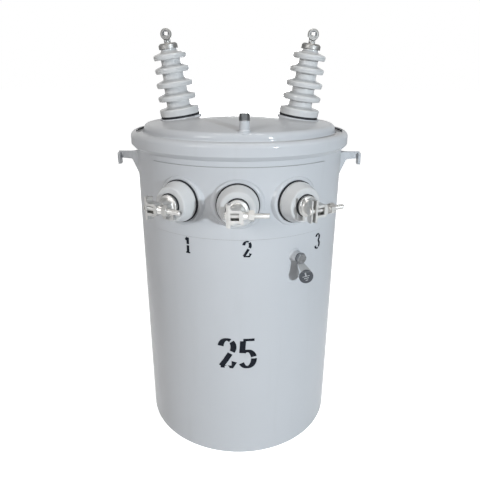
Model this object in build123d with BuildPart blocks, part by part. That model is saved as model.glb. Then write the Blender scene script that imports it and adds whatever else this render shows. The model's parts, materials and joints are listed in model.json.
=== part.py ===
"""Pole mounted distribution transformer: tank, clamped cover, bushings, terminals, lugs and hangers.

Millimetres. +Z is up, the tank axis is the Z axis, the ground is Z = 0, and -Y is the low-voltage side.
Azimuths are degrees round the tank from -Y, positive towards +X.
"""
from build123d import *
from math import cos, radians, sin, sqrt
import os

os.makedirs("parts", exist_ok=True)

# Tank
TANK_R = 240
TANK_H = 733.5
WALL_T = 3
BOTTOM_RECESS = 22            # the bottom plate stands this far above the foot of the skirt
BOTTOM_T = 5
BOTTOM_DISH = 4
BOTTOM_FLAT_W = 22
FIT = 0.3                     # clearance between clamped or nested pieces

# Rim, cover gasket and clamp band
RIM_REACH = 9.7
GASKET_T = 4
GASKET_LEG_T = 3              # the gasket's leg between the cover and the band's lip
GASKET_EDGE = 4               # rubber outside the cover's edge
GASKET_INSET = 1              # the leg ends this far behind the edge of the lip
BAND_T = 2
BAND_WEB = 27.3               # height of the band above its sloped lower lip
BAND_SLOPE = 9
BAND_LIP = 12
BAND_ROUND = 11
BAND_GAP = 26
EAR_REACH = 27
EAR_T = 5
EAR_H = 22
BAND_BOLT_R = 5
BAND_BOLT_AF = 16
BAND_BOLT_HEAD = 7
BAND_NUT_T = 9
BAND_BOLT_SPARE = 12

# Cover
COVER_T = 3
FLANGE_W = 17                 # flat rim of the cover inside the band's lip
CROWN_RISE = 18.3             # crown's edge above the flange
CROWN_DRAFT = 1
CROWN_ROUND = 12
FOOT_ROUND = 5
DOME_RISE = 21.9              # middle of the dome above the crown's edge

# High-voltage bushings, heights along the tilted bushing axis from the seat
HV_INSET = 85.8               # seat centres inside the edge of the crown
HV_Y = -15
HV_LEAN = 7.8
HV_FORWARD = 3
HV_SEAT_RISE = 2.2
HV_SEAT_ROUND = 0.6
HV_SEAT_MARGIN = 4
HV_HOLE_R = 26
HV_SHANK_R = 23
HV_SHANK_L = 60
HV_GASKET_R = 44.2
HV_GASKET_T = 5
HV_FLANGE_R = 45.6
HV_FLANGE_H = 14.6
HV_SHEDS = [(43.9, 43.2), (41.9, 71.9), (39.2, 101.8), (37.3, 129.6)]   # tip radius, tip height
HV_WAISTS = [26.6, 25.7, 23.8, 21.5, 17.3]
HV_NECK_H = 14.9              # porcelain above the top shed's tip
SHED_DRIP = 6.5
SHED_LIP = 4.2
SHED_RISE = 10.5
CAP_R = 20.9
CAP_H = 11.7
EYE_R = 12
EYE_HOLE_R = 7.6
EYE_T = 9
EYE_H = 18
LEG_R = 2.4
LEG_PITCH = 9.4
POST_R = 2.8

# Low-voltage bushings, heights along the bushing axis from the seat
LV_ROW_AZIMUTH = -0.5
LV_PITCH = 28.5
LV_DROP = 108.5               # bushing axes below the tank's mouth
LV_SEAT_PROUD = 2.5
LV_SEAT_R = 49
LV_SEAT_ROUND = 6
LV_HOLE_R = 26
LV_SHANK_R = 24
LV_SHANK_L = 45
LV_GASKET_R = 43.5
LV_GASKET_T = 3.5
LV_BASE_R = 41.5
LV_BASE_H = 7
LV_NOSE_R = 34.5
LV_FRONT = 34
WASHER_R = 22.8
WASHER_T = 2.5

# Low-voltage clamp terminals, across (along the stud) from the bushing axis and out from the seat
DISC_R = 21
DISC_T = 6
NECK_R = 14.5
NECK_TOP_R = 12
YOKE_STANDOFF = 20
YOKE_D = 19
YOKE_H = 24
YOKE_LEFT = -15
YOKE_RIGHT = 22.5
YOKE_SHIFTS = [-7, -1.5, 3.5]   # each clamp is drawn up a little off centre
YOKE_BAR = 7                  # bar between the window and the tapered boss
YOKE_CHAMFER = 4
BOSS_R = 9
BOSS_TIP_R = 7
BOSS_TIP_L = 2.5
JAW_T = 4.5
JAW_H = 43
JAW_ROUND = 4
WINDOW_H = 14
WINDOW_W = 15.5
KEEPER_T = 3.2
KEEPER_H = 45
KEEPER_D = 11
KEEPER_GAPS = [0.3, 0.3, 3.8]   # from the jaw to the keeper on each clamp
HEAD_R = 7.5
HEAD_T = 3.5
SHANK_R = 6
STUD_R = 4.7
STUD_END = 60
NUT_AF = 18.5
NUT_T = 10
FOOT_PITCH = 18               # two short legs under the terminal's base
FOOT_W = 6
FOOT_DROP = 28

# Low-voltage panel
PANEL_ANGLE = 97
PANEL_T = 2.5
PANEL_BELOW = 74              # below and above the bushing axes
PANEL_ABOVE = 72
PANEL_CORNER = 9

# Filling stub on the cover
STUB_X = 10
STUB_INSET = 15
STUB_R = 10.2
STUB_H = 20
PLUG_AF = 18
PLUG_T = 14

# Lifting lugs
LUG_DROP = 41.5               # top of the lugs below the tank's mouth
LUG_H = 54
LUG_T = 6
LUG_REACH = 52
LUG_FOLD = 19
LUG_FOLD_FACET = 5
LUG_SPREAD = 24
LUG_ARM_H = 18.5
LUG_ARM_TAPER = 3
LUG_ELBOW = 6
LUG_TIP_T = 5.5
LUG_TIP_W = 21
LUG_TIP_H = 27.5
LUG_TIP_DROP = 3

# Pole hangers: two slotted plates for 16 mm bolts
HANGER_DROP = 133.5           # middle of the upper hanger below the tank's mouth
HANGER_PITCH = 285.75
HANGER_STANDOFF = 45
HANGER_W = 92
HANGER_H = 96
HANGER_T = 6
HANGER_TAPER = 12
SLOT_W = 17.5
SLOT_L = 38

# Earthing pad
EARTH_AZIMUTH = 29.8
EARTH_DROP = 228
EARTH_BOSS_R = 11.4
EARTH_BOSS_L = 15
TAG_R = 15
TAG_T = 2.5
TAG_NECK_W = 10
TAG_DROP = 36
TAG_SWING = 3
TAG_STANDOFF = 38             # middle of the tag from the wall
TAG_TURN = 24                 # the tag is turned this much towards the front
EARTH_BOLT_AF = 20.5
EARTH_BOLT_T = 8

# Sizes that follow
rim_r = TANK_R + RIM_REACH
band_in = rim_r + FIT
band_r = band_in + BAND_T
band_mouth = band_r - BAND_LIP
cover_low = TANK_H + GASKET_T
flange_top = cover_low + COVER_T
leg_top = flange_top + GASKET_LEG_T
band_top = leg_top + BAND_T
band_bend = band_top - BAND_WEB
band_low = band_bend - BAND_SLOPE
miter = sqrt(2) - 1           # offset of a 45 degree bend, for each unit of thickness
gasket_out = band_in - FIT
gasket_r = TANK_R - WALL_T + 1
leg_r = band_mouth + GASKET_INSET
lip_bend = min(BAND_ROUND - BAND_T, gasket_out - leg_r - 0.1)   # inside the lip, over the gasket's corner
cover_r = gasket_out - GASKET_EDGE
foot_r = band_mouth - FLANGE_W
crown_r = foot_r - CROWN_DRAFT
crown_z = flange_top + CROWN_RISE
dome_top = crown_z + DOME_RISE
dome_r = (crown_r ** 2 + DOME_RISE ** 2) / (2 * DOME_RISE)
hv_x = crown_r - HV_INSET
hv_h = HV_SHEDS[-1][1] + HV_NECK_H
lv_reach = TANK_R + PANEL_T + LV_SEAT_PROUD
lv_z = TANK_H - LV_DROP
lv_azimuths = [LV_ROW_AZIMUTH + LV_PITCH * step for step in (-1, 0, 1)]
GROUND = Plane.XY


def radial(azimuth, distance, height):
    """Plane facing outward from the tank axis. Its X runs round the tank, its Y points up."""
    a = radians(azimuth)
    return Plane(origin=(distance * sin(a), -distance * cos(a), height),
                 x_dir=(cos(a), sin(a), 0), z_dir=(sin(a), -cos(a), 0))


def section(base):
    """Plane through the base plane's normal: X is the radius, Y the height along the normal."""
    return Plane(origin=base.origin, x_dir=base.x_dir, z_dir=-base.y_dir)


def corner(profile, point):
    """The profile's vertex nearest to a point of its plane."""
    return profile.vertices().sort_by_distance((*point, 0))[0]


def turned(base, points, rounds=()):
    """Solid turned about the base plane's normal from (radius, height) points, with rounded corners."""
    with BuildPart() as body:
        with BuildSketch(section(base)) as profile:
            with BuildLine():
                Polyline(*points, close=True)
            make_face()
            for point, radius in rounds:
                fillet(corner(profile, point), radius)
        revolve(axis=Axis(base.origin, base.z_dir))
    return body.part


def sleeve(base, inner, outer, low, high):
    """Plain ring, or a disc where inner is 0, between two heights over the base plane."""
    return turned(base, [(inner, low), (outer, low), (outer, high), (inner, high)])


def hex_prism(base, across_flats, low, high, chamfered=1.2):
    """Hexagonal head or nut along the base plane's normal, with its outer corners turned off."""
    corner_r = across_flats / sqrt(3)
    with BuildPart() as body:
        with BuildSketch(base.offset(low)):
            RegularPolygon(corner_r, 6)
        extrude(amount=high - low)
        add(turned(base, [(0, low), (corner_r, low), (corner_r, high - chamfered * 0.6),
                          (corner_r - chamfered, high), (0, high)]), mode=Mode.INTERSECT)
    return body.part


def save(solid, name):
    solid.label = name
    export_step(solid, f"parts/{name}.step")


tank_solid = sleeve(GROUND, 0, TANK_R, 0, TANK_H)
lv_seats = [radial(azimuth, lv_reach, lv_z) for azimuth in lv_azimuths]
lv_drills = [sleeve(seat, 0, LV_HOLE_R, -LV_SHANK_L, 1) for seat in lv_seats]

# Tank wall, open at both ends, drilled for the three low-voltage bushings
with BuildPart() as tank_wall:
    add(sleeve(GROUND, TANK_R - WALL_T, TANK_R, 0, TANK_H))
    add(lv_drills, mode=Mode.SUBTRACT)
save(tank_wall.part, "tank_wall")

# Bottom plate, dished and recessed in the skirt of the wall
bottom_r = TANK_R - WALL_T
flat_r = bottom_r - BOTTOM_FLAT_W
dish_r = flat_r * 0.7
dish_z = BOTTOM_RECESS + BOTTOM_DISH
save(turned(GROUND, [(0, dish_z), (dish_r, dish_z), (flat_r, BOTTOM_RECESS), (bottom_r, BOTTOM_RECESS),
                     (bottom_r, BOTTOM_RECESS + BOTTOM_T), (flat_r, BOTTOM_RECESS + BOTTOM_T),
                     (dish_r, dish_z + BOTTOM_T), (0, dish_z + BOTTOM_T)]), "tank_bottom")

# Rim bar round the mouth, with the sloped underside that the clamp band draws on
rim_bend = band_bend + miter * (BAND_T + FIT)
save(turned(GROUND, [(TANK_R, TANK_H), (rim_r, TANK_H), (rim_r, rim_bend), (TANK_R, rim_bend - RIM_REACH)]),
     "tank_rim")

# Cover gasket, wrapped round the edge of the cover
leg_corner = (gasket_out, leg_top)
save(turned(GROUND, [(gasket_r, TANK_H), (gasket_out, TANK_H), leg_corner, (leg_r, leg_top),
                     (leg_r, flange_top), (cover_r, flange_top), (cover_r, cover_low), (gasket_r, cover_low)],
            rounds=[(leg_corner, lip_bend)]), "cover_gasket")


# Cover: flat flange, steep crown wall and shallow dome, with tilted bushing seats
def dome_z(radius, drop=0.0):
    """Height of the dome at a radius, or of the surface that lies drop below it."""
    return dome_top - drop - dome_r + sqrt(dome_r ** 2 - radius ** 2)


def crown(inset, reach, floor):
    """Solid under the cover's upper surface, or under the surface that lies inset inside it."""
    edge = (crown_r - inset, dome_z(crown_r - inset, inset))
    foot = (foot_r - inset, flange_top - inset)
    with BuildPart() as body:
        with BuildSketch(Plane.YZ) as profile:
            with BuildLine():
                ThreePointArc((0, dome_top - inset), (crown_r / 2, dome_z(crown_r / 2, inset)), edge)
                Polyline(edge, foot, (reach, foot[1]), (reach, floor), (0, floor), (0, dome_top - inset))
            make_face()
            fillet(corner(profile, edge), CROWN_ROUND - inset)
            fillet(corner(profile, foot), FOOT_ROUND + inset)
        revolve(axis=Axis.Z)
    return body.part


def hv_seat(side):
    """Tilted plane of a high-voltage bushing's seat; side is -1 or 1."""
    height = dome_z(sqrt(hv_x ** 2 + HV_Y ** 2)) + HV_SEAT_RISE
    return Plane(origin=(side * hv_x, HV_Y, height), x_dir=(1, 0, 0),
                 z_dir=(side * sin(radians(HV_LEAN)), -sin(radians(HV_FORWARD)), cos(radians(HV_LEAN))))


hv_sides = {"left": hv_seat(-1), "right": hv_seat(1)}
hv_seat_r = HV_GASKET_R + HV_SEAT_MARGIN
seat_depth = HV_SEAT_RISE + 12
seat_pads = [turned(seat, [(0, 0), (hv_seat_r, 0), (hv_seat_r, -seat_depth), (0, -seat_depth)],
                    rounds=[((hv_seat_r, 0), HV_SEAT_ROUND)]) for seat in hv_sides.values()]
cover_mass = crown(0, cover_r, cover_low - 1)
with BuildPart() as cover:
    add(cover_mass)
    add(seat_pads)
    add(crown(COVER_T, cover_r + 1, cover_low - seat_depth), mode=Mode.SUBTRACT)
    add([sleeve(seat, 0, HV_HOLE_R, -HV_SHANK_L, 1) for seat in hv_sides.values()], mode=Mode.SUBTRACT)
save(cover.part, "cover")

# Clamp band: a rolled channel with a gap at the back
with BuildPart() as clamp_band:
    with BuildSketch(section(GROUND)) as profile:
        slope_x = band_r - BAND_SLOPE
        with BuildLine():
            Polyline((band_mouth, band_top), (band_r, band_top), (band_r, band_bend), (slope_x, band_low),
                     (slope_x - BAND_T / sqrt(2), band_low + BAND_T / sqrt(2)),
                     (band_in, band_bend + miter * BAND_T), (band_in, band_top - BAND_T),
                     (band_mouth, band_top - BAND_T), close=True)
        make_face()
        fillet(corner(profile, (band_r, band_top)), lip_bend + BAND_T)
        fillet(corner(profile, (band_in, band_top - BAND_T)), lip_bend)
        fillet(corner(profile, (band_r, band_bend)), BAND_T)
    revolve(axis=Axis.Z)
    with BuildSketch(GROUND.offset(band_low)):
        with Locations((0, band_r)):
            Rectangle(BAND_GAP, 4 * BAND_LIP)
    extrude(amount=BAND_WEB + BAND_SLOPE, mode=Mode.SUBTRACT)
save(clamp_band.part, "clamp_band")

# Ears of the band, drawn together by its closing bolt
ear_z = (band_bend + band_top - BAND_ROUND) / 2
bolt_y = band_r + EAR_REACH * 0.58
bolt_axis = Plane(origin=(0, bolt_y, ear_z), x_dir=(0, 1, 0), z_dir=(1, 0, 0))
bolt_hole = sleeve(bolt_axis, 0, BAND_BOLT_R + FIT, -2 * BAND_GAP, 2 * BAND_GAP)
for name, side in (("left", -1), ("right", 1)):
    with BuildPart() as ear:
        with BuildSketch(Plane.YZ.offset(side * BAND_GAP / 2)) as plate:
            with Locations((band_in + EAR_REACH / 2, ear_z)):
                Rectangle(EAR_REACH + BAND_T, EAR_H)
            fillet(plate.vertices().group_by(Axis.X)[-1], EAR_H / 3)
        extrude(amount=side * EAR_T)
        add(sleeve(GROUND, 0, band_r, 0, 2 * TANK_H), mode=Mode.SUBTRACT)
        add(bolt_hole, mode=Mode.SUBTRACT)
    save(ear.part, f"band_ear_{name}")
ear_face = BAND_GAP / 2 + EAR_T
nut_end = ear_face + BAND_NUT_T
with BuildPart() as band_bolt:
    add(hex_prism(bolt_axis, BAND_BOLT_AF, ear_face, ear_face + BAND_BOLT_HEAD))
    add(sleeve(bolt_axis, 0, BAND_BOLT_R, -nut_end - BAND_BOLT_SPARE, ear_face + 1))
save(band_bolt.part, "band_bolt")
nut_axis = Plane(origin=bolt_axis.origin, x_dir=(0, 1, 0), z_dir=(-1, 0, 0))
with BuildPart() as band_nut:
    add(hex_prism(nut_axis, BAND_BOLT_AF, ear_face, nut_end))
    add(sleeve(nut_axis, 0, BAND_BOLT_R, 0, 2 * nut_end), mode=Mode.SUBTRACT)
save(band_nut.part, "band_nut")

# Filling stub and its plug
stub_y = STUB_INSET - crown_r
stub_base = GROUND.offset(dome_z(sqrt(STUB_X ** 2 + stub_y ** 2))).move(Location((STUB_X, stub_y, 0)))
with BuildPart() as plug_stub:
    add(turned(stub_base, [(0, -8), (STUB_R + 1.6, -8), (STUB_R + 1.6, 1.6), (STUB_R, 3.2), (STUB_R, STUB_H),
                           (0, STUB_H)], rounds=[((STUB_R, STUB_H), 1)]))
    add(cover_mass, mode=Mode.SUBTRACT)
save(plug_stub.part, "plug_stub")
save(hex_prism(stub_base, PLUG_AF, STUB_H, STUB_H + PLUG_T, chamfered=2), "plug_bolt")


# High-voltage bushings with gaskets, caps and eye terminals
def shed_outline():
    """Points of the high-voltage porcelain from its flange up, and the corners to round."""
    flange_top = HV_GASKET_T + HV_FLANGE_H
    points = [(HV_FLANGE_R - 1, HV_GASKET_T), (HV_FLANGE_R, flange_top), (HV_WAISTS[0], flange_top + 4)]
    rounds = [(points[1], 3), (points[2], 4)]
    for (tip_r, tip), below, above in zip(HV_SHEDS, HV_WAISTS, HV_WAISTS[1:]):
        under = (below, tip - SHED_LIP)
        drip = (tip_r - 2, tip - SHED_DRIP)
        edge = (tip_r, tip + SHED_LIP)
        root = (above, tip + SHED_RISE)
        points += [under, drip, edge, root]
        rounds += [(under, 3), (drip, 2.2), (edge, 4.5), (root, 4)]
    points += [(HV_WAISTS[-1], hv_h), (0, hv_h)]
    return points, rounds


shed_points, shed_rounds = shed_outline()
cap_top = hv_h + CAP_H
eye_z = cap_top + EYE_H
leg_top = eye_z - sqrt(EYE_R ** 2 - (LEG_PITCH / 2) ** 2) + 2
for name, seat in hv_sides.items():
    save(turned(seat, [(0, -HV_SHANK_L), (HV_SHANK_R, -HV_SHANK_L), (HV_SHANK_R, HV_GASKET_T)] + shed_points,
                rounds=shed_rounds), f"hv_bushing_{name}")
    save(sleeve(seat, HV_SHANK_R, HV_GASKET_R, 0, HV_GASKET_T), f"hv_gasket_{name}")
    save(turned(seat, [(0, hv_h), (CAP_R, hv_h), (CAP_R, cap_top - 3.5), (CAP_R - 4, cap_top), (0, cap_top)],
                rounds=[((CAP_R, hv_h), 1)]), f"hv_cap_{name}")
    with BuildPart() as hv_terminal:
        with BuildSketch(section(seat)):
            with Locations((0, eye_z)):
                Circle(EYE_R)
        extrude(amount=EYE_T / 2, both=True)
        chamfer(hv_terminal.edges().filter_by(GeomType.CIRCLE), 1.5)
        with BuildSketch(section(seat)):
            with Locations((0, eye_z)):
                Circle(EYE_HOLE_R)
        extrude(amount=EYE_T, both=True, mode=Mode.SUBTRACT)
        with BuildSketch(seat.offset(cap_top)):
            with Locations((-LEG_PITCH / 2, 0), (LEG_PITCH / 2, 0)):
                Circle(LEG_R)
        extrude(amount=leg_top - cap_top)
        add(turned(seat, [(0, cap_top), (2.5 * POST_R, cap_top), (2.5 * POST_R, cap_top + 3),
                          (POST_R, cap_top + 3), (POST_R, eye_z - 4), (POST_R + 2, eye_z - 4),
                          (POST_R + 2, eye_z - 1.5), (0, eye_z - 1.5)]))
    save(hv_terminal.part, f"hv_terminal_{name}")

# Low-voltage panel: raised curved plate with a flat pressed seat at each bushing
panel_start = radial(-PANEL_ANGLE / 2, 0, 0)
pad_depth = lv_reach - sqrt(TANK_R ** 2 - (LV_SEAT_R + 9) ** 2) + 3
pad_foot = LV_SEAT_R + 0.65 * pad_depth
lv_pads = [turned(seat, [(0, 0), (LV_SEAT_R, 0), (pad_foot, -pad_depth), (0, -pad_depth)],
                  rounds=[((LV_SEAT_R, 0), LV_SEAT_ROUND)]) for seat in lv_seats]
with BuildPart() as lv_panel:
    with BuildSketch(Plane(origin=(0, 0, 0), x_dir=panel_start.z_dir, z_dir=-panel_start.x_dir)):
        with Locations((TANK_R + PANEL_T / 2, lv_z + (PANEL_ABOVE - PANEL_BELOW) / 2)):
            Rectangle(PANEL_T, PANEL_ABOVE + PANEL_BELOW)
    revolve(axis=Axis.Z, revolution_arc=PANEL_ANGLE)
    fillet([e for e in lv_panel.edges().filter_by(GeomType.LINE) if e.length < 2 * PANEL_T], PANEL_CORNER)
    add(lv_pads)
    add(tank_solid, mode=Mode.SUBTRACT)
    add(lv_drills, mode=Mode.SUBTRACT)
save(lv_panel.part, "lv_panel")


# Low-voltage bushings and clamp terminals
disc_low = LV_FRONT + WASHER_T
disc_top = disc_low + DISC_T
yoke_back = disc_top + YOKE_STANDOFF
for number, (seat, shift, gap) in enumerate(zip(lv_seats, YOKE_SHIFTS, KEEPER_GAPS), start=1):
    save(turned(seat, [(0, -LV_SHANK_L), (LV_SHANK_R, -LV_SHANK_L), (LV_SHANK_R, LV_GASKET_T),
                       (LV_BASE_R, LV_GASKET_T), (LV_BASE_R, LV_GASKET_T + LV_BASE_H),
                       (LV_NOSE_R + 1.5, LV_FRONT - 5), (LV_NOSE_R, LV_FRONT), (0, LV_FRONT)],
                rounds=[((LV_BASE_R, LV_GASKET_T), 1), ((LV_BASE_R, LV_GASKET_T + LV_BASE_H), 6),
                        ((LV_NOSE_R, LV_FRONT), 4)]), f"lv_bushing_{number}")
    save(sleeve(seat, LV_SHANK_R, LV_GASKET_R, 0, LV_GASKET_T), f"lv_gasket_{number}")
    save(sleeve(seat, 0, WASHER_R, LV_FRONT, disc_low), f"lv_washer_{number}")

    # Clamp body: base disc with two short legs, flared neck, windowed yoke with a jaw, tapered boss
    yoke_origin = seat.from_local_coords((shift, 0, yoke_back))
    yoke_plane = Plane(origin=yoke_origin, x_dir=seat.x_dir, z_dir=seat.z_dir)
    middle = yoke_plane.offset(YOKE_D / 2)
    across = Plane(origin=middle.origin, x_dir=middle.y_dir, z_dir=middle.x_dir)
    window_left = YOKE_LEFT + JAW_T
    window_right = window_left + WINDOW_W
    bar_right = window_right + YOKE_BAR
    with BuildPart() as lv_clamp:
        with BuildSketch(yoke_plane) as yoke:
            with Locations(((YOKE_LEFT + bar_right) / 2, 0)):
                Rectangle(bar_right - YOKE_LEFT, YOKE_H)
            with Locations((YOKE_LEFT + JAW_T / 2, 0)):
                Rectangle(JAW_T, JAW_H)
            for edge_y in (-YOKE_H / 2, YOKE_H / 2):
                chamfer(corner(yoke, (bar_right, edge_y)), YOKE_CHAMFER)
                fillet(corner(yoke, (window_left, edge_y)), JAW_ROUND)
        extrude(amount=YOKE_D)
        with BuildSketch(yoke_plane):
            with Locations((window_left + WINDOW_W / 2, 0)):
                Rectangle(WINDOW_W, WINDOW_H)
        extrude(amount=YOKE_D, mode=Mode.SUBTRACT)
        add(turned(across, [(0, bar_right - 1), (BOSS_R, bar_right - 1), (BOSS_R, bar_right + 1),
                            (BOSS_TIP_R, YOKE_RIGHT - BOSS_TIP_L), (BOSS_TIP_R, YOKE_RIGHT),
                            (0, YOKE_RIGHT)]))
        add(turned(seat, [(0, disc_low), (DISC_R, disc_low), (DISC_R, disc_top), (NECK_R, disc_top + 1),
                          (NECK_TOP_R, yoke_back + 1), (0, yoke_back + 1)],
                   rounds=[((DISC_R, disc_top), 1.5), ((NECK_R, disc_top + 1), 4)]))
        with BuildSketch(seat.offset(disc_low + 1)):
            with Locations((-FOOT_PITCH / 2, -FOOT_DROP / 2), (FOOT_PITCH / 2, -FOOT_DROP / 2)):
                Rectangle(FOOT_W, FOOT_DROP)
        extrude(amount=DISC_T - 2)
        add(sleeve(across, 0, SHANK_R + FIT, YOKE_LEFT - 1, window_left + 1), mode=Mode.SUBTRACT)
        add(sleeve(across, 0, STUD_R + FIT, window_right - 1, YOKE_RIGHT + 1), mode=Mode.SUBTRACT)
    save(lv_clamp.part, f"lv_clamp_{number}")

    # Clamp bolt: round head, keeper plate, shank in the window and stud through the boss
    keeper_face = YOKE_LEFT - gap
    keeper_back = keeper_face - KEEPER_T
    stud_foot = window_right - gap
    stud_end = STUD_END - gap
    with BuildPart() as lv_clamp_bolt:
        with BuildSketch(across.offset(keeper_back)) as keeper:
            Rectangle(KEEPER_H, KEEPER_D)
            fillet(keeper.vertices(), 2)
        extrude(amount=KEEPER_T)
        add(turned(across, [(0, keeper_back - HEAD_T), (HEAD_R, keeper_back - HEAD_T), (HEAD_R, keeper_back),
                            (0, keeper_back)], rounds=[((HEAD_R, keeper_back - HEAD_T), 2)]))
        add(sleeve(across, 0, SHANK_R, keeper_face - 1, stud_foot))
        add(turned(across, [(0, stud_foot - 1), (STUD_R, stud_foot - 1), (STUD_R, stud_end - 1),
                            (STUD_R - 1, stud_end), (0, stud_end)]))
    save(lv_clamp_bolt.part, f"lv_clamp_bolt_{number}")
    with BuildPart() as lv_nut:
        add(hex_prism(across, NUT_AF, YOKE_RIGHT, YOKE_RIGHT + NUT_T))
        add(sleeve(across, 0, STUD_R, 0, STUD_END), mode=Mode.SUBTRACT)
    save(lv_nut.part, f"lv_nut_{number}")

# Lifting lugs: a folded plate, two wings welded to the wall, with a cross plate at the tip
lug_tip = TANK_R + LUG_REACH
lug_fold = TANK_R + LUG_FOLD
lug_root = TANK_R - WALL_T
lug_top = TANK_H - LUG_DROP
lug_foot = lug_top - LUG_H
for name, side in (("left", -1), ("right", 1)):
    with BuildPart() as lug:
        with BuildSketch(GROUND.offset(lug_foot - LUG_T)) as plan:
            with BuildLine():
                Polyline((side * (lug_tip - 2), LUG_T / 2), (side * lug_fold, LUG_T / 2),
                         (side * lug_root, LUG_SPREAD), (side * lug_root, LUG_SPREAD - LUG_T * 1.2),
                         (side * (lug_fold - LUG_T), 0), (side * lug_root, -LUG_SPREAD + LUG_T * 1.2),
                         (side * lug_root, -LUG_SPREAD), (side * lug_fold, -LUG_T / 2),
                         (side * (lug_tip - 2), -LUG_T / 2), close=True)
            make_face()
            for fold_y in (-LUG_T / 2, LUG_T / 2):
                chamfer(corner(plan, (side * lug_fold, fold_y)), LUG_FOLD_FACET)
        extrude(amount=LUG_H + 2 * LUG_T)
        with BuildSketch(Plane.XZ) as outline:
            elbow = (side * lug_fold, lug_top - LUG_ARM_H)
            with BuildLine():
                Polyline((side * lug_root, lug_top), (side * lug_tip, lug_top),
                         (side * lug_tip, lug_top - LUG_ARM_H + LUG_ARM_TAPER), elbow,
                         (side * lug_root, lug_foot - 5), close=True)
            make_face()
            fillet(corner(outline, elbow), LUG_ELBOW)
        extrude(amount=2 * LUG_SPREAD, both=True, mode=Mode.INTERSECT)
        with BuildSketch(Plane.YZ.offset(side * lug_tip)) as tip:
            with Locations((0, lug_top - LUG_TIP_DROP - LUG_TIP_H / 2)):
                Rectangle(LUG_TIP_W, LUG_TIP_H)
            fillet(tip.vertices(), 4)
        extrude(amount=-side * LUG_TIP_T)
        add(tank_solid, mode=Mode.SUBTRACT)
    save(lug.part, f"lifting_lug_{name}")

# Pole hangers: channel brackets with an upright slot for the pole bolt
hanger_y = TANK_R + HANGER_STANDOFF
hanger_root = TANK_R - HANGER_T - 2 * WALL_T
upper_z = TANK_H - HANGER_DROP
for name, height in (("upper", upper_z), ("lower", upper_z - HANGER_PITCH)):
    top, low = height + HANGER_H / 2, height - HANGER_H / 2
    with BuildPart() as hanger:
        with BuildSketch(GROUND.offset(low)) as plan:
            with Locations((0, (hanger_root + hanger_y) / 2)):
                Rectangle(HANGER_W, hanger_y - hanger_root)
            fillet(plan.vertices().group_by(Axis.Y)[-1], 1.5 * HANGER_T)
            with Locations((0, (hanger_root + hanger_y) / 2 - HANGER_T)):
                Rectangle(HANGER_W - 2 * HANGER_T, hanger_y - hanger_root, mode=Mode.SUBTRACT)
        extrude(amount=HANGER_H)
        with BuildSketch(Plane.YZ):
            with BuildLine():
                Polyline((hanger_root - 1, top), (hanger_y, top - HANGER_TAPER),
                         (hanger_y, low + HANGER_TAPER), (hanger_root - 1, low), close=True)
            make_face()
        extrude(amount=HANGER_W, both=True, mode=Mode.INTERSECT)
        with BuildSketch(Plane.XZ.offset(-hanger_y - 1)):
            with Locations((0, height)):
                SlotOverall(SLOT_L, SLOT_W, rotation=90)
        extrude(amount=HANGER_T + 2, mode=Mode.SUBTRACT)
        add(tank_solid, mode=Mode.SUBTRACT)
    save(hanger.part, f"hanger_{name}")

# Earthing boss, bolt and tag; the tag hangs from a bent strap and is turned towards the front
earth = radial(EARTH_AZIMUTH, TANK_R, TANK_H - EARTH_DROP)
tag_face = EARTH_BOSS_L + TAG_T
with BuildPart() as ground_boss:
    add(turned(earth, [(0, -4), (EARTH_BOSS_R + 2, -4), (EARTH_BOSS_R + 2, 1), (EARTH_BOSS_R, 3),
                       (EARTH_BOSS_R, EARTH_BOSS_L), (0, EARTH_BOSS_L)]))
    add(tank_solid, mode=Mode.SUBTRACT)
save(ground_boss.part, "ground_boss")
strap_end = EARTH_BOLT_AF / sqrt(3) + 2
facing = radial(EARTH_AZIMUTH - TAG_TURN, 0, 0)
tag = Plane(origin=earth.from_local_coords((TAG_SWING, -TAG_DROP, TAG_STANDOFF)),
            x_dir=facing.x_dir, z_dir=facing.z_dir)
neck_top = Plane(origin=earth.from_local_coords((0, 1 - strap_end, EARTH_BOSS_L + TAG_T / 2)),
                 x_dir=earth.x_dir, z_dir=-earth.y_dir)
neck_foot = Plane(origin=tag.from_local_coords((0, TAG_R * 0.7, -TAG_T / 2)),
                  x_dir=tag.x_dir, z_dir=-tag.y_dir)
with BuildPart() as ground_tag:
    with BuildSketch(earth.offset(EARTH_BOSS_L)):
        Circle(EARTH_BOSS_R - 1)
        with Locations((0, -strap_end / 2)):
            Rectangle(TAG_NECK_W, strap_end)
    extrude(amount=TAG_T)
    for end in (neck_top, neck_foot):
        with BuildSketch(end):
            Rectangle(TAG_NECK_W, 1.6 * TAG_T)
    loft()
    with BuildSketch(tag.offset(-TAG_T)):
        Circle(TAG_R)
    extrude(amount=TAG_T)
save(ground_tag.part, "ground_tag")
save(hex_prism(earth, EARTH_BOLT_AF, tag_face, tag_face + EARTH_BOLT_T, chamfered=2), "ground_bolt")
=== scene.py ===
"""Looks of the pole mounted transformer: finishes, weld beads, threads, marks, light and camera.

Metres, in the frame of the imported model: +Z up, the tank axis on Z, the low-voltage side towards -Y.
Azimuths run round the tank from -Y, positive towards +X.
"""
import json
from math import asin, atan2, ceil, cos, hypot, pi, radians, sin

import bmesh
import bpy
from mathutils import Matrix, Vector


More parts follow.
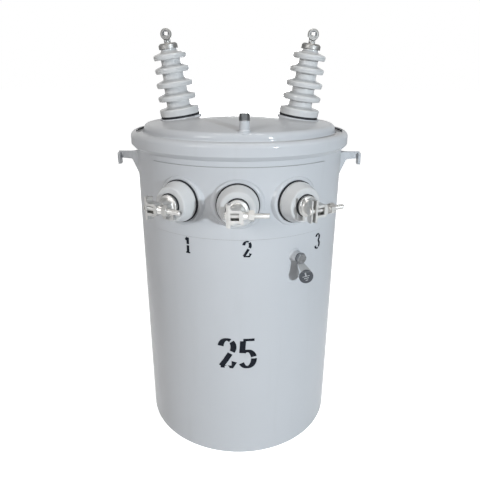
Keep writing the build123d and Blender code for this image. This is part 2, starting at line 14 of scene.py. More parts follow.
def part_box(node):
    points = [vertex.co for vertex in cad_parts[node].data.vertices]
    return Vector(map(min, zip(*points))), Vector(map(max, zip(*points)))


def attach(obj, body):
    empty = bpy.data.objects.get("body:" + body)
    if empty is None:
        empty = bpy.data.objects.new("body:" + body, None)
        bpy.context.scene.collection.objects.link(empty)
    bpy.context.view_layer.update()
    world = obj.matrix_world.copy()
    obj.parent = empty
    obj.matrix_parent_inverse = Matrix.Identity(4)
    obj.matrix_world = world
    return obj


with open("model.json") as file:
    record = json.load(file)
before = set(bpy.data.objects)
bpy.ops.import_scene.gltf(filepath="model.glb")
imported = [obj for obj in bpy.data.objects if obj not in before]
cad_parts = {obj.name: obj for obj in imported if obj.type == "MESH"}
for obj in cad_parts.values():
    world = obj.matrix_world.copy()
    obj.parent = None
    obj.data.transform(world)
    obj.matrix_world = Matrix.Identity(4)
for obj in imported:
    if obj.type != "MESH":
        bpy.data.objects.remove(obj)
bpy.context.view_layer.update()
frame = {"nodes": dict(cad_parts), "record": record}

MM = 0.001
UP = Vector((0, 0, 1))


# ---------------------------------------------------------------- places read from the frame

def centre(node):
    """Middle of a CAD node's box, which is on the axis of a turned piece."""
    low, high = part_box(node)
    return (low + high) / 2


def corners_of(node):
    """Vertices of a CAD node in the row frame."""
    solid = frame["nodes"][node]
    return [solid.matrix_world @ vertex.co for vertex in solid.data.vertices]


def reach_along(node, origin, axis):
    """How far the node's mesh reaches past the origin along the axis."""
    return max((corner - origin).dot(axis) for corner in corners_of(node))


ABOVE_ALL = 2.0               # height from which a ray is cast down on the cover


def cover_height(x, y):
    """Height of the cover's top face over (x, y)."""
    cover = frame["nodes"]["cover"]
    back = cover.matrix_world.inverted()
    start, down = back @ Vector((x, y, ABOVE_ALL)), back.to_3x3() @ Vector((0, 0, -1))
    _, place, _, _ = cover.ray_cast(start, down)
    return (cover.matrix_world @ place).z


def outward(azimuth):
    """Level unit vector away from the tank's axis."""
    return Vector((sin(azimuth), -cos(azimuth), 0))


def sideways(azimuth):
    """Level unit vector along the wall, towards larger azimuths."""
    return Vector((cos(azimuth), sin(azimuth), 0))


def radial(azimuth, distance, height):
    """Point round the tank at a distance from its axis."""
    return Vector((distance * sin(azimuth), -distance * cos(azimuth), height))


def azimuth_of(point):
    return atan2(point.x, -point.y)


def wall_normal(point):
    return Vector((point.x, point.y, 0)).normalized()


tank_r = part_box("tank_wall")[1].x
tank_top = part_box("tank_wall")[1].z
panel_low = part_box("lv_panel")[0].z
panel_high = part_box("lv_panel")[1].z


# ---------------------------------------------------------------- materials

def spread(nodes, links, socket, low, high, to_low=0.0, to_high=1.0):
    """The socket's values from low to high, spread over to_low to to_high."""
    node = nodes.new("ShaderNodeMapRange")
    for key, value in (("From Min", low), ("From Max", high), ("To Min", to_low), ("To Max", to_high)):
        node.inputs[key].default_value = value
    links.new(socket, node.inputs["Value"])
    return node.outputs["Result"]


def combine(nodes, links, operation, first, second):
    """Result of a Math node on two sockets."""
    node = nodes.new("ShaderNodeMath")
    node.operation = operation
    links.new(first, node.inputs[0])
    links.new(second, node.inputs[1])
    return node.outputs["Value"]


class Finish:
    """A Principled material whose colour, roughness and bump come from textures in object space."""

    def __init__(self, name, **settings):
        self.material = bpy.data.materials.new(name)
        self.material.use_nodes = True
        self.nodes = self.material.node_tree.nodes
        self.links = self.material.node_tree.links
        self.shader = self.nodes["Principled BSDF"]
        self.place = self.nodes.new("ShaderNodeTexCoord").outputs["Object"]
        self.normal = None
        for socket, value in settings.items():
            self.shader.inputs[socket.replace("_", " ")].default_value = value

    def noise(self, scale, detail=3.0, roughness=0.5, stretch=(1, 1, 1)):
        mapping = self.nodes.new("ShaderNodeMapping")
        mapping.inputs["Scale"].default_value = stretch
        texture = self.nodes.new("ShaderNodeTexNoise")
        texture.inputs["Scale"].default_value = scale
        texture.inputs["Detail"].default_value = detail
        texture.inputs["Roughness"].default_value = roughness
        self.links.new(self.place, mapping.inputs["Vector"])
        self.links.new(mapping.outputs["Vector"], texture.inputs["Vector"])
        return texture.outputs["Fac"]

    def cells(self, scale):
        texture = self.nodes.new("ShaderNodeTexVoronoi")
        texture.inputs["Scale"].default_value = scale
        self.links.new(self.place, texture.inputs["Vector"])
        return texture.outputs["Color"]

    def span(self, socket, *limits):
        return spread(self.nodes, self.links, socket, *limits)

    def blend(self, factor, first, second):
        """Colour between two colours or sockets."""
        node = self.nodes.new("ShaderNodeMix")
        node.data_type = "RGBA"
        self.links.new(factor, node.inputs["Factor"])
        for key, value in ((6, first), (7, second)):
            if isinstance(value, tuple):
                node.inputs[key].default_value = (*value, 1)
            else:
                self.links.new(value, node.inputs[key])
        return node.outputs[2]

    def colour(self, socket):
        self.links.new(socket, self.shader.inputs["Base Color"])

    def rough(self, socket):
        self.links.new(socket, self.shader.inputs["Roughness"])

    def bump(self, height, distance, strength=1.0):
        """Bump of this depth on top of the bumps made before it."""
        node = self.nodes.new("ShaderNodeBump")
        node.inputs["Strength"].default_value = strength
        node.inputs["Distance"].default_value = distance
        self.links.new(height, node.inputs["Height"])
        if self.normal is not None:
            self.links.new(self.normal, node.inputs["Normal"])
        self.normal = node.outputs["Normal"]
        self.links.new(self.normal, self.shader.inputs["Normal"])


def paint_finish():
    """Light grey gloss enamel over rolled sheet: soft waves, orange peel and faint dusty runs.

    Its gloss comes from the coat alone, as the porcelain's does.
    """
    paint = Finish("tank_paint", Coat_Weight=0.45, Coat_Roughness=0.09, Specular_IOR_Level=0.0)
    shade = paint.blend(paint.noise(4, 4), (0.575, 0.590, 0.615), (0.620, 0.635, 0.660))
    runs = paint.span(paint.noise(9, 5, 0.6, stretch=(3, 3, 0.25)), 0.56, 0.80, 0.0, 0.35)
    paint.colour(paint.blend(runs, shade, (0.54, 0.55, 0.56)))
    paint.rough(paint.span(paint.noise(22, 4), 0.3, 0.7, 0.30, 0.42))
    paint.bump(paint.noise(5, 1.5), 0.0018)
    paint.bump(paint.noise(620, 2), 0.00006, 0.5)
    return paint.material


def porcelain_finish():
    """Glazed grey porcelain with a faint mottle and pinholes in the glaze."""
    glaze = Finish("porcelain", Coat_Weight=0.9, Coat_Roughness=0.05, Specular_IOR_Level=0.0)
    mottle = glaze.blend(glaze.noise(35, 5), (0.60, 0.605, 0.61), (0.67, 0.674, 0.676))
    specks = glaze.span(glaze.noise(900, 2), 0.70, 0.76, 0.0, 0.5)
    glaze.colour(glaze.blend(specks, mottle, (0.36, 0.36, 0.35)))
    glaze.rough(glaze.span(glaze.noise(60, 3), 0.3, 0.7, 0.16, 0.27))
    glaze.bump(glaze.noise(40, 2), 0.00012, 0.5)
    return glaze.material


def rubber_finish():
    """Black nitrile with a dull, slightly dusty skin."""
    rubber = Finish("gasket_rubber", Specular_IOR_Level=0.30)
    dust = rubber.span(rubber.noise(120, 5), 0.5, 0.8, 0.0, 0.5)
    rubber.colour(rubber.blend(dust, (0.012, 0.013, 0.017), (0.045, 0.046, 0.052)))
    rubber.rough(rubber.span(rubber.noise(300, 3), 0.3, 0.7, 0.45, 0.7))
    rubber.bump(rubber.noise(1500, 2), 0.00005)
    return rubber.material


def tinned_finish(name, low, high, roughness):
    """Tin plated cast bronze: a little warm, with a fine cast skin and dull patches."""
    tin = Finish(name, Metallic=1.0)
    tin.colour(tin.blend(tin.noise(60, 4), low, high))
    tin.rough(tin.span(tin.noise(140, 4), 0.3, 0.7, roughness, roughness + 0.14))
    tin.bump(tin.noise(260, 2), 0.00007, 0.7)
    return tin.material


def zinc_finish(name, low, high, roughness):
    """Zinc plate with a faint spangle."""
    zinc = Finish(name, Metallic=1.0)
    zinc.colour(zinc.blend(zinc.cells(260), low, high))
    zinc.rough(zinc.span(zinc.noise(90, 4), 0.3, 0.7, roughness, roughness + 0.18))
    zinc.bump(zinc.noise(700, 3), 0.00006)
    return zinc.material


def flat_paint_finish(name, low, high, roughness, gloss=0.4):
    """Thin paint of two near shades, with uneven wear."""
    coat = Finish(name, Specular_IOR_Level=gloss)
    coat.colour(coat.blend(coat.noise(220, 5), low, high))
    coat.rough(coat.span(coat.noise(90, 3), 0.3, 0.7, roughness, roughness + 0.2))
    coat.bump(coat.noise(800, 2), 0.00004)
    return coat.material


FINISHES = {
    "tank_paint": paint_finish(),
    "porcelain": porcelain_finish(),
    "gasket_rubber": rubber_finish(),
    "tinned_bronze": tinned_finish("tinned_bronze", (0.47, 0.466, 0.455), (0.69, 0.685, 0.67), 0.34),
    "zinc_hardware": zinc_finish("zinc_hardware", (0.17, 0.173, 0.18), (0.30, 0.305, 0.315), 0.26),
    "dark_zinc": zinc_finish("dark_zinc", (0.10, 0.105, 0.11), (0.19, 0.195, 0.20), 0.38),
    "tag_paint": flat_paint_finish("tag_paint", (0.045, 0.05, 0.06), (0.075, 0.08, 0.09), 0.35),
}
# A darker copy of the tin, for the high-voltage terminals, caps and eye pads.
DARKER_TIN = tinned_finish("darker_tin", (0.20, 0.199, 0.194), (0.42, 0.417, 0.41), 0.42)
INK = flat_paint_finish("stencil_ink", (0.005, 0.006, 0.010), (0.022, 0.025, 0.034), 0.6, gloss=0.08)
# Darker grey paint: painted shade on the panel's weld, and on the tag's neck partly the plate's own tone and
# partly painted shade.
GREY_PAINT_AND_SHADE = flat_paint_finish("grey_paint_and_shade", (0.33, 0.335, 0.34), (0.39, 0.395, 0.40), 0.35)
SYMBOL = flat_paint_finish("symbol_paint", (0.42, 0.43, 0.44), (0.52, 0.53, 0.54), 0.4)


def dress_cad_nodes():
    """Give each CAD node its material slot's finish, and the high-voltage metal a darker tin."""
    for subpart in frame["record"]["subparts"]:
        name = subpart["node"]
        mesh = frame["nodes"][name].data
        mesh.materials.clear()
        high_voltage_metal = name.startswith(("hv_terminal", "hv_cap"))
        mesh.materials.append(DARKER_TIN if high_voltage_metal else FINISHES[subpart["material_slot"]])


# ---------------------------------------------------------------- mesh pieces

def piece(name, vertices, faces, slot, material=None, smooth=True):
    """A mesh piece in the row frame, riding on the body, with the given finish or else its slot's finish."""
    mesh = bpy.data.meshes.new(name)
    mesh.from_pydata([tuple(v) for v in vertices], [], faces)
    mesh.update()
    body = bmesh.new()
    body.from_mesh(mesh)
    bmesh.ops.recalc_face_normals(body, faces=body.faces)
    body.to_mesh(mesh)
    body.free()
    mesh.polygons.foreach_set("use_smooth", [smooth] * len(mesh.polygons))
    mesh.materials.append(material or FINISHES[slot])
    made = bpy.data.objects.new(name, mesh)
    bpy.context.collection.objects.link(made)
    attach(made, "root")
    return made


def grid_faces(rows, columns, wrap_rows=False):
    """Quads between closed rings of points, each ring columns long."""
    faces = []
    for row in range(rows if wrap_rows else rows - 1):
        after = (row + 1) % rows
        for column in range(columns):
            beside = (column + 1) % columns
            faces.append((row * columns + column, row * columns + beside,
                          after * columns + beside, after * columns + column))
    return faces


def tube_faces(rows, columns):
    """Faces of a tube of rings with both ends closed."""
    ends = [tuple(range(columns)), tuple(range((rows - 1) * columns, rows * columns))]
    return grid_faces(rows, columns) + ends


def across_axes(axis):
    """Two unit vectors square to an axis and to each other."""
    helper = UP if abs(axis.z) < 0.9 else Vector((1, 0, 0))
    side = axis.cross(helper).normalized()
    return side, axis.cross(side).normalized()


BEAD_SIDES = 8
BEAD_RIPPLE = 3.5 * MM        # spacing of a weld bead's ripples
BEAD_WAVE = 0.14              # share of the radius that the ripples take
BEAD_END = 0.35               # share of the radius that is left at an open end


def weld_bead(name, path, radius, closed=False, on_wall=False, finish=None):
    """Weld bead centred on a path of points, its radius rippled along the run."""
    count = len(path)
    vertices = []
    travelled = 0.0
    for index, point in enumerate(path):
        before = path[index - 1] if closed or index else point
        after = path[(index + 1) % count] if closed or index < count - 1 else point
        tangent = (after - before).normalized()
        side, lift = across_axes(tangent)
        if on_wall:
            side = wall_normal(point)
            lift = side.cross(tangent).normalized()
        if index:
            travelled += (point - path[index - 1]).length
        swell = radius * (1 - BEAD_WAVE + BEAD_WAVE * abs(cos(pi * travelled / BEAD_RIPPLE)))
        if not closed and index in (0, count - 1):
            swell *= BEAD_END
        for step in range(BEAD_SIDES):
            angle = 2 * pi * step / BEAD_SIDES
            vertices.append(point + side * (swell * cos(angle)) + lift * (swell * sin(angle)))
    faces = grid_faces(count, BEAD_SIDES, wrap_rows=True) if closed else tube_faces(count, BEAD_SIDES)
    return piece(name, vertices, faces, "tank_paint", finish)


def ring_path(middle, axis, radius, spacing):
    """Points round an axis, about this far apart."""
    side, lift = across_axes(axis)
    count = ceil(2 * pi * radius / spacing)
    return [middle + side * (radius * cos(2 * pi * k / count)) + lift * (radius * sin(2 * pi * k / count))
            for k in range(count)]


THREAD_SIDES = 24
THREAD_PITCH = 1.85 * MM
THREAD_DEPTH = 0.35 * MM
ROWS_PER_TURN = 6


def thread(name, start, axis, length, radius, slot):
    """Cut thread on a stud: a sleeve whose radius rises and falls with the helix, closed at both ends."""
    side, lift = across_axes(axis)
    rows = ceil(length / THREAD_PITCH * ROWS_PER_TURN)
    vertices = []
    for row in range(rows + 1):
        along = length * row / rows
        fade = min(1.0, along / THREAD_PITCH, (length - along) / THREAD_PITCH)
        for step in range(THREAD_SIDES):
            turn = step / THREAD_SIDES
            phase = (along / THREAD_PITCH - turn) % 1.0
            crest = 1 - abs(2 * phase - 1)
            reach = radius - THREAD_DEPTH * 0.5 + THREAD_DEPTH * crest * fade
            vertices.append(start + axis * along + side * (reach * cos(2 * pi * turn))
                            + lift * (reach * sin(2 * pi * turn)))
    return piece(name, vertices, tube_faces(rows + 1, THREAD_SIDES), slot)


# ---------------------------------------------------------------- marks

def bow(u, v, reach_u, reach_v, start, end, steps=18):
    """Points of an elliptic arc round (u, v); angles in degrees, anticlockwise from the right."""
    turns = [radians(start + (end - start) * k / steps) for k in range(steps + 1)]
    return [(u + reach_u * cos(t), v + reach_v * sin(t)) for t in turns]


# Stencil numerals in a box one unit high: each stroke is a run of points, and the gaps are the bridges.
NUMERALS = {
    "1": [[(-0.17, 0.80), (0.0, 0.96)], [(0.03, 0.97), (0.03, 0.55)], [(0.03, 0.47), (0.03, 0.02)],
          [(-0.17, 0.015), (0.23, 0.015)]],
    "2": [bow(0.0, 0.72, 0.25, 0.25, 175, 60), bow(0.0, 0.72, 0.25, 0.25, 45, -38),
          [(0.12, 0.50), (-0.05, 0.27), (-0.24, 0.05)], [(-0.26, 0.035), (0.20, 0.035), (0.28, 0.22)]],
    "3": [bow(-0.02, 0.76, 0.22, 0.21, 165, 50), bow(-0.02, 0.76, 0.22, 0.21, 38, -80),
          bow(-0.03, 0.28, 0.27, 0.26, 78, -45), bow(-0.03, 0.28, 0.27, 0.26, -60, -165)],
    "5": [[(-0.19, 0.96), (0.24, 0.96)], [(-0.20, 0.92), (-0.23, 0.52)],
          bow(-0.03, 0.31, 0.26, 0.28, 120, 15), bow(-0.03, 0.31, 0.26, 0.28, 2, -150)],
}
PEN_BROAD = 0.175             # width of upright runs, in letter heights
PEN_NARROW = 0.085            # width of level runs


def pen_section(run, index):
    """Both edges of a pen stroke at one of its points."""
    before, after = run[max(index - 1, 0)], run[min(index + 1, len(run) - 1)]
    along_u, along_v = after[0] - before[0], after[1] - before[1]
    length = hypot(along_u, along_v)
    along_u, along_v = along_u / length, along_v / length
    half = hypot(PEN_NARROW * along_u, PEN_BROAD * along_v) / 2
    u, v = run[index]
    return (u - along_v * half, v + along_u * half), (u + along_v * half, v - along_u * half)


def pen_marks(name, strokes, place, slot, material):
    """One thin film along each stroke; place(u, v, side) gives the point under or over the film."""
    vertices, faces = [], []
    for run in strokes:
        first = len(vertices)
        for index in range(len(run)):
            left, right = pen_section(run, index)
            vertices += [place(*left, 1), place(*right, 1), place(*right, -1), place(*left, -1)]
        faces += [tuple(first + corner for corner in face) for face in tube_faces(len(run), 4)]
    return piece(name, vertices, faces, slot, material, smooth=False)


INK_LIFT = 0.3 * MM           # how far the marks stand off what they are painted on
NUMERAL_PLACES = {"1": (-26.5, 513), "2": (4.0, 513), "3": (46.0, 505)}    # degrees, and foot in millimetres
NUMERAL_H = 35 * MM
NUMERAL_SLIM = 0.76
NUMERAL_PITCH = 0.62          # spacing of figures in a row, in letter heights
RATING_AZIMUTH = radians(-0.5)
RATING_FOOT = 243 * MM
RATING_H = 76 * MM


def painted_numerals(name, text, azimuth, foot, height):
    """Stencil numerals on the tank wall, centred on the azimuth; foot is the height of their base."""
    strokes = []
    for place_in_row, figure in enumerate(text):
        shift = (place_in_row - (len(text) - 1) / 2) * NUMERAL_PITCH
        strokes += [[(u * NUMERAL_SLIM + shift, v) for u, v in run] for run in NUMERALS[figure]]

    def on_wall(u, v, side):
        return radial(azimuth + u * height / tank_r, tank_r + side * INK_LIFT, foot + v * height)

    return pen_marks(name, strokes, on_wall, "tag_paint", INK)


def add_marks():
    """The terminals' numerals, the rating and the earth tag's symbol, with the tag's neck."""
    for figure, (azimuth, foot) in NUMERAL_PLACES.items():
        painted_numerals(f"terminal_numeral_{figure}", figure, radians(azimuth), foot * MM, NUMERAL_H)
    painted_numerals("rating_numeral", "25", RATING_AZIMUTH, RATING_FOOT, RATING_H)
    disc = tag_face()
    add_earth_symbol(disc)
    add_tag_neck(disc)


TAG_R = 15 * MM
TAG_FACING = radians(5.8)
EARTH_SYMBOL = [[(0.0, 1.05), (0.0, 0.52)], [(-0.50, 0.48), (0.50, 0.48)], [(-0.34, 0.18), (0.34, 0.18)],
                [(-0.17, -0.12), (0.17, -0.12)]]
SYMBOL_MIDDLE = 0.42          # height of the symbol's middle in its own strokes' units
SYMBOL_H = 15 * MM
SYMBOL_TURN = radians(14)


def tag_face():
    """Middle of the face of the tag's disc."""
    points = corners_of("ground_tag")
    foot = min(p.z for p in points)
    disc = [p for p in points if p.z < foot + 2 * TAG_R]
    middle = sum(disc, Vector()) / len(disc)
    facing = outward(TAG_FACING)
    middle += facing * max((p - middle).dot(facing) for p in disc if p.z < foot + TAG_R)
    middle.z = foot + TAG_R
    return middle


def add_earth_symbol(disc):
    """The usual earth symbol on the face of the tag's disc."""
    facing, side = outward(TAG_FACING), sideways(TAG_FACING)
    right = side * cos(SYMBOL_TURN) + UP * sin(SYMBOL_TURN)
    up = UP * cos(SYMBOL_TURN) - side * sin(SYMBOL_TURN)

    def on_tag(u, v, lift):
        across, rise = right * (u * SYMBOL_H), up * ((v - SYMBOL_MIDDLE) * SYMBOL_H)
        return disc + across + rise + facing * (lift * INK_LIFT)

    pen_marks("earth_symbol", EARTH_SYMBOL, on_tag, "tag_paint", SYMBOL)


NECK_TOP_W = 12.5 * MM        # the neck's width under the bolt, and where it meets the disc
NECK_FOOT_W = 22 * MM
NECK_T = 3.2 * MM
NECK_PROUD = 2.9 * MM         # its top in front of the boss, and above the bolt's lowest point
NECK_TUCK = 3 * MM
NECK_LAP = 0.72               # its foot above the disc's middle, in radii of the disc
NECK_LIFT = 0.3 * MM          # its foot in front of the disc's face
NECK_STEPS = 12


def add_tag_neck(disc):
    """Painted neck of the tag: it bends from the boss to the disc and widens on its way. Its darker grey is
    partly the plate's own tone and partly painted shade.
    """
    boss = centre("ground_boss")
    azimuth = azimuth_of(boss)
    out, along = outward(azimuth), sideways(azimuth)
    facing, side = outward(TAG_FACING), sideways(TAG_FACING)
    bolt_low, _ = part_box("ground_bolt")
    face = boss + out * reach_along("ground_boss", boss, out)
    top = Vector((face.x, face.y, bolt_low.z + NECK_TUCK)) + out * NECK_PROUD
    foot = disc + UP * (TAG_R * NECK_LAP) + facing * NECK_LIFT
    vertices = []
    for step in range(NECK_STEPS + 1):
        t = step / NECK_STEPS
        ease = t * t * (3 - 2 * t)
        middle = top.lerp(foot, t)
        normal = out.lerp(facing, ease).normalized()
        across = along.lerp(side, ease).normalized() * (NECK_TOP_W + (NECK_FOOT_W - NECK_TOP_W) * ease) / 2
        back = middle - normal * NECK_T
        vertices += [middle - across, middle + across, back + across, back - across]
    piece("earth_tag_neck", vertices, tube_faces(NECK_STEPS + 1, 4), "tag_paint", GREY_PAINT_AND_SHADE, smooth=False)


# ---------------------------------------------------------------- details of each sub-assembly

EYE_DROP = 12 * MM            # the eye's middle below the terminal's tip
EYE_HOLE_R = 7.6 * MM
EYE_T = 9 * MM
FILL_HALF = EYE_T * 0.46      # half the depth of the pad and of the painted shade ring in the eye
PAD_R = EYE_HOLE_R * 0.97
PAD_ANGLES = range(200, 341, 10)      # degrees round the eye, where 90 is its top
SHADE_RING_ANGLES = range(-18, 199, 6)
SHADE_RING_R = 7.5 * MM
SHADE_RING_BORE_R = 6.6 * MM
WIRE_HALF_W = 4.1 * MM        # half the width, and the top, of the space left in the eye for a wire
WIRE_TOP = 5.2 * MM
TINY = 0.01                   # keeps a division by a vanishing direction finite


def add_high_voltage_details(side):
    """Clamping pad in the lower half of the eye, and a dark ring round the upper half that is painted shade
    inside the eye.
    """
    gasket = centre(f"hv_gasket_{side}")
    axis = (centre(f"hv_cap_{side}") - gasket).normalized()
    middle = gasket + axis * (reach_along(f"hv_terminal_{side}", gasket, axis) - EYE_DROP)
    through = Vector((0, 1, 0)) - axis * axis.y
    through.normalize()
    across = axis.cross(through)

    def in_eye(r, turn, depth):
        return middle + across * (r * cos(turn)) + axis * (r * sin(turn)) + through * depth

    pad = [in_eye(PAD_R, radians(angle), 0) for angle in PAD_ANGLES]
    vertices = [p - through * FILL_HALF for p in pad] + [p + through * FILL_HALF for p in pad]
    piece(f"hv_eye_pad_{side}", vertices, tube_faces(2, len(pad)), "tinned_bronze", DARKER_TIN, smooth=False)
    # Dark zinc ring inside the eye's upper half: painted shade in the eye's hollow, clear of the space for a
    # wire.
    shade_ring = []
    for angle in SHADE_RING_ANGLES:
        turn = radians(angle)
        direction = across * cos(turn) + axis * sin(turn)
        beside_wire = WIRE_HALF_W / max(abs(direction.x), TINY)
        above_wire = WIRE_TOP / max(direction.z, TINY)
        inner = min(beside_wire, above_wire, SHADE_RING_BORE_R)
        shade_ring += [in_eye(SHADE_RING_R, turn, -FILL_HALF), in_eye(inner, turn, -FILL_HALF),
                  in_eye(inner, turn, FILL_HALF), in_eye(SHADE_RING_R, turn, FILL_HALF)]
    faces = tube_faces(len(shade_ring) // 4, 4)
    piece(f"hv_eye_painted_shade_{side}", shade_ring, faces, "tinned_bronze", FINISHES["dark_zinc"], smooth=False)


STUD_THREAD_R = 4.85 * MM
BAND_THREAD_R = 5.15 * MM


def add_low_voltage_details(number):
    """Thread on the free end of the clamp's stud."""
    across = sideways(azimuth_of(centre(f"lv_gasket_{number}")))
    nut = centre(f"lv_nut_{number}")
    start = nut + across * reach_along(f"lv_nut_{number}", nut, across)
    length = reach_along(f"lv_clamp_bolt_{number}", start, across)
    thread(f"lv_stud_thread_{number}", start, across, length, STUD_THREAD_R, "tinned_bronze")


FLANGE_R = 9.9 * MM
FLANGE_W = 2 * MM             # from its edge in to its bore
FLANGE_T = 2 * MM
FLANGE_EDGE = 0.5 * MM        # how far the rounded edge runs in, and how far it runs up
FLANGE_RISE = 0.6 * MM
FLANGE_CROWN = 0.2 * MM       # how much the top face rises towards the shank
FLANGE_STEPS = 48


def add_plug_flange():
    """Thin turned flange under the head of the filling plug, with a rounded edge. Its zinc is lighter than
    the head's, partly a painted highlight for the glints on the head's lower rim.
    """
    middle, foot = centre("plug_bolt"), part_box("plug_bolt")[0].z
    inner, shoulder = FLANGE_R - FLANGE_W, FLANGE_R - FLANGE_EDGE
    profile = [(inner, 0.0), (shoulder, 0.0), (FLANGE_R, FLANGE_RISE), (FLANGE_R, FLANGE_T - FLANGE_RISE),
               (shoulder, FLANGE_T), (inner, FLANGE_T + FLANGE_CROWN)]
    turns = [2 * pi * k / FLANGE_STEPS for k in range(FLANGE_STEPS)]
    vertices = [Vector((middle.x + r * cos(turn), middle.y + r * sin(turn), foot + rise))
                for r, rise in profile for turn in turns]
    piece("plug_flange", vertices, grid_faces(len(profile), FLANGE_STEPS, wrap_rows=True), "zinc_hardware")


def add_band_thread():
    """Thread on the free end of the band's bolt."""
    start = centre("band_nut")
    start.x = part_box("band_nut")[0].x
    length = start.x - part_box("band_bolt")[0].x
    thread("band_bolt_thread", start, Vector((-1, 0, 0)), length, BAND_THREAD_R, "zinc_hardware")


UPRIGHT_SPACING = 0.8 * MM    # between the points of an upright weld run
WELD_INSET = 3 * MM           # how far an upright run stops short of the plate's ends
LUG_WELD_R = 2.2 * MM
HANGER_WELD_R = 2.6 * MM


def upright_weld(name, azimuth, plate_low, plate_high, radius):
    """Weld run up the wall beside a plate that goes from one height to another."""
    low, high = plate_low + WELD_INSET, plate_high - WELD_INSET
    count = ceil((high - low) / UPRIGHT_SPACING)
    path = [radial(azimuth, tank_r, low + (high - low) * k / count) for k in range(count + 1)]
    weld_bead(name, path, radius, on_wall=True)


def add_upright_welds():
    """Fillet runs where the lugs' and the hangers' legs meet the wall."""
    for side, sign in (("left", -1), ("right", 1)):
        low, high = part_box(f"lifting_lug_{side}")
        for edge, y in (("front", low.y), ("rear", high.y)):
            azimuth = sign * (pi / 2 + asin(y / tank_r))
            upright_weld(f"lug_weld_{side}_{edge}", azimuth, low.z, high.z, LUG_WELD_R)
    for place in ("upper", "lower"):
        low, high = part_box(f"hanger_{place}")
        for edge, x in (("left", low.x), ("right", high.x)):
            azimuth = pi - asin(x / tank_r)
            upright_weld(f"hanger_weld_{place}_{edge}", azimuth, low.z, high.z, HANGER_WELD_R)


PANEL_CORNER = 9 * MM
PANEL_STEP = 1 * MM           # between the points of the panel's weld run
PANEL_WELD_R = 1.2 * MM
PANEL_WELD_PROUD = 1.0 * MM   # the run's middle in front of the wall


def panel_outline():
    """The low-voltage panel's edge with round corners, as distances round the wall and heights."""
    half = max(azimuth_of(corner) for corner in corners_of("lv_panel")) * tank_r
    corners = ((half, panel_low, -90), (half, panel_high, 0),
               (-half, panel_high, 90), (-half, panel_low, 180))
    outline = []
    for across, height, start in corners:
        middle_u = across - PANEL_CORNER * (1 if across > 0 else -1)
        middle_z = height + PANEL_CORNER * (1 if height == panel_low else -1)
        for turn in range(0, 91, 10):
            angle = radians(start + turn)
            outline.append((middle_u + PANEL_CORNER * cos(angle), middle_z + PANEL_CORNER * sin(angle)))
    return outline


def add_panel_weld():
    """Weld run round the edge of the low-voltage panel, on the wall, in a darker grey that is painted shade
    along the panel's edge.
    """
    outline = panel_outline()
    path = []
    for index, (u, z) in enumerate(outline):
        next_u, next_z = outline[(index + 1) % len(outline)]
        count = ceil(hypot(next_u - u, next_z - z) / PANEL_STEP)
        for k in range(count):
            along_u, along_z = u + (next_u - u) * k / count, z + (next_z - z) * k / count
            path.append(radial(along_u / tank_r, tank_r + PANEL_WELD_PROUD, along_z))
    weld_bead("panel_weld", path, PANEL_WELD_R, closed=True, on_wall=True, finish=GREY_PAINT_AND_SHADE)


ROUND_STEPS = 110
BOSS_FOOT_R = 13.4 * MM
BOSS_WELD_R = 1.6 * MM
STUB_WELD_R = 1.3 * MM
SKIRT_WELD_R = 2.2 * MM
SKIRT_SPACING = 1.6 * MM      # between the points of the skirt's weld run


def add_round_welds():
    """Fillet runs round the earth boss, the filling stub and the inside of the skirt."""
    boss = centre("ground_boss")
    azimuth = azimuth_of(boss)
    turns = [2 * pi * k / ROUND_STEPS for k in range(ROUND_STEPS)]
    round_boss = [radial(azimuth + BOSS_FOOT_R * cos(t) / tank_r, tank_r, boss.z + BOSS_FOOT_R * sin(t))
                  for t in turns]
    weld_bead("earth_boss_weld", round_boss, BOSS_WELD_R, closed=True, on_wall=True)
    stub_low, stub_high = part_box("plug_stub")
    stub = centre("plug_stub")
    stub_r = (stub_high.x - stub_low.x) / 2
    ring = []
    for t in turns:
        x, y = stub.x + stub_r * cos(t), stub.y + stub_r * sin(t)
        ring.append(Vector((x, y, cover_height(x, y))))
    weld_bead("stub_weld", ring, STUB_WELD_R, closed=True)
    plate_low, plate_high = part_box("tank_bottom")
    in_skirt = ring_path(Vector((0, 0, plate_low.z)), UP, plate_high.x, SKIRT_SPACING)
    weld_bead("skirt_weld", in_skirt, SKIRT_WELD_R, closed=True)


# ---------------------------------------------------------------- stage, light and camera

FILL_LEVEL = 0.03             # the world's own light on the object, where white is 1
SIDE_GLOSS = 0.4              # share of the white that gloss sees at the two sides of the object
OVERHEAD_GLOSS = 0.42         # share of the world's white that gloss sees overhead
SKY_RISE = (0.18, 0.85)       # upward parts of a ray between which the world dims to that
SKY_SIDES = (0.5, 0.8)        # sideways parts of a ray between which gloss falls to SIDE_GLOSS
FLOOR_HALF = 30.0
FLOOR_SHADE = 0.60
FLOOR_GLOW = 0.90             # the floor's own white under the object; further out it is 1
FLOOR_REACH = (0.7, 1.6)      # metres from the object between which it rises to 1
FLOOR_SIDES = (0.45, 1.0)     # metres to the side between which gloss falls to SIDE_GLOSS


def seen_directly(nodes, links, across, near, far):
    """Socket that is 1 for camera and transmission rays and 0 for the light on the object.

    Glossy rays see 1 in front and behind, falling to SIDE_GLOSS from near to far on both sides.
    """
    ray = nodes.new("ShaderNodeLightPath")
    size = nodes.new("ShaderNodeMath")
    size.operation = "ABSOLUTE"
    links.new(across, size.inputs[0])
    side = spread(nodes, links, size.outputs["Value"], near, far, 1.0, SIDE_GLOSS)
    gloss = combine(nodes, links, "MULTIPLY", side, ray.outputs["Is Glossy Ray"])
    camera, glass = ray.outputs["Is Camera Ray"], ray.outputs["Is Transmission Ray"]
    direct = combine(nodes, links, "MAXIMUM", camera, glass)
    return combine(nodes, links, "MAXIMUM", direct, gloss)


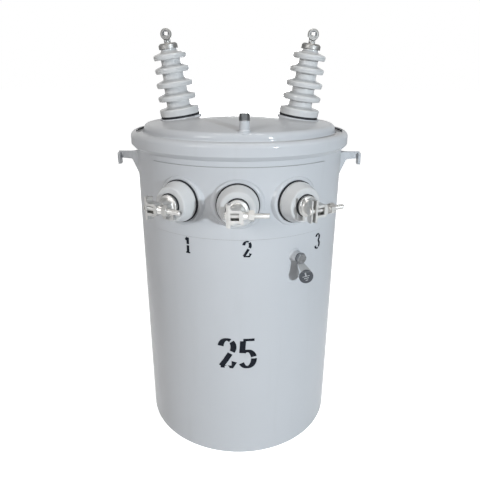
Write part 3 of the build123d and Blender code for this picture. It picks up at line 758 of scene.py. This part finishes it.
def gradient_world():
    """White to the camera, greyer overhead to gloss, and a faint fill on the object."""
    world = bpy.data.worlds.new("studio")
    bpy.context.scene.world = world
    world.use_nodes = True
    nodes = world.node_tree.nodes
    links = world.node_tree.links
    background = nodes["Background"]
    background.inputs["Color"].default_value = (1, 1, 1, 1)
    place = nodes.new("ShaderNodeTexCoord")
    split = nodes.new("ShaderNodeSeparateXYZ")
    links.new(place.outputs["Generated"], split.inputs["Vector"])
    height = spread(nodes, links, split.outputs["Z"], *SKY_RISE, 1.0, OVERHEAD_GLOSS)
    seen = seen_directly(nodes, links, split.outputs["X"], *SKY_SIDES)
    level = spread(nodes, links, seen, 0.0, 1.0, FILL_LEVEL, 1.0)
    dimmed = combine(nodes, links, "MULTIPLY", height, level)
    camera = nodes.new("ShaderNodeLightPath").outputs["Is Camera Ray"]
    links.new(combine(nodes, links, "MAXIMUM", camera, dimmed), background.inputs["Strength"])


def floor_finish():
    """Pale floor, white to the camera where nothing shades it and dimmer to gloss at the sides."""
    material = bpy.data.materials.new("floor")
    material.use_nodes = True
    nodes = material.node_tree.nodes
    links = material.node_tree.links
    shader = nodes["Principled BSDF"]
    shader.inputs["Base Color"].default_value = (FLOOR_SHADE, FLOOR_SHADE, FLOOR_SHADE, 1)
    shader.inputs["Roughness"].default_value = 0.9
    shader.inputs["Specular IOR Level"].default_value = 0.1
    shader.inputs["Emission Color"].default_value = (1, 1, 1, 1)
    place = nodes.new("ShaderNodeTexCoord")
    distance = nodes.new("ShaderNodeVectorMath")
    distance.operation = "LENGTH"
    links.new(place.outputs["Object"], distance.inputs[0])
    white = spread(nodes, links, distance.outputs["Value"], *FLOOR_REACH, FLOOR_GLOW, 1.0)
    split = nodes.new("ShaderNodeSeparateXYZ")
    links.new(place.outputs["Object"], split.inputs["Vector"])
    seen = seen_directly(nodes, links, split.outputs["X"], *FLOOR_SIDES)
    links.new(combine(nodes, links, "MULTIPLY", white, seen), shader.inputs["Emission Strength"])
    return material


def pale_floor():
    """Wide floor under the object. It takes the object's shadow, faintly."""
    mesh = bpy.data.meshes.new("floor")
    corners = [(x * FLOOR_HALF, y * FLOOR_HALF, 0) for x, y in ((-1, -1), (1, -1), (1, 1), (-1, 1))]
    mesh.from_pydata(corners, [], [(0, 1, 2, 3)])
    mesh.materials.append(floor_finish())
    floor = bpy.data.objects.new("floor", mesh)
    bpy.context.collection.objects.link(floor)


LAMP_AIM = 0.65               # height that the lamps aim at, in heights of the tank


def lamp(name, azimuth, elevation, distance, size, power, colour):
    """Oblong lamp aimed at the object; azimuth and elevation in degrees, power in watts."""
    target = Vector((0, 0, tank_top * LAMP_AIM))
    a, e = radians(azimuth), radians(elevation)
    place = target + distance * Vector((sin(a) * cos(e), -cos(a) * cos(e), sin(e)))
    light = bpy.data.lights.new(name, "AREA")
    light.shape = "RECTANGLE"
    light.size, light.size_y = size
    light.energy = power
    light.color = colour
    made = bpy.data.objects.new(name, light)
    turn = (place - target).to_track_quat("Z", "Y").to_matrix().to_4x4()
    made.matrix_world = Matrix.Translation(place) @ turn
    bpy.context.collection.objects.link(made)


SENSOR = 36                   # millimetres, as the lens
LENS = 33.645
CAMERA_PLACE = (0.0024, -1.0922, 0.8609)
CAMERA_DOWN = 20.01           # degrees below level
CAMERA_ROLL = 0.192           # degrees


def place_camera():
    """The photograph's viewpoint, in front of the low-voltage side and looking down."""
    data = bpy.data.cameras.new("camera")
    data.sensor_width = SENSOR
    data.lens = LENS
    camera = bpy.data.objects.new("camera", data)
    down = Matrix.Rotation(radians(90 - CAMERA_DOWN), 4, "X")
    roll = Matrix.Rotation(radians(CAMERA_ROLL), 4, "Z")
    camera.matrix_world = Matrix.Translation(CAMERA_PLACE) @ (down @ roll)
    bpy.context.collection.objects.link(camera)
    bpy.context.scene.camera = camera


dress_cad_nodes()
for side in ("left", "right"):
    add_high_voltage_details(side)
for number in (1, 2, 3):
    add_low_voltage_details(number)
add_plug_flange()
add_band_thread()
add_upright_welds()
add_panel_weld()
add_round_welds()
add_marks()
gradient_world()
pale_floor()
lamp("key", 35, 11, 3.5, (0.14, 0.14), 71, (0.92, 1.0, 1.06))
lamp("left", -42, 20, 3.5, (1.2, 1.2), 41, (1.01, 1.0, 0.99))
lamp("overhead", 0, 80, 3.0, (2.2, 0.3), 26, (1.03, 1.0, 0.96))
lamp("rear", 180, 6, 3.5, (1.2, 1.2), 45, (1.0, 1.0, 1.0))
place_camera()
bpy.context.scene.view_settings.view_transform = "Standard"
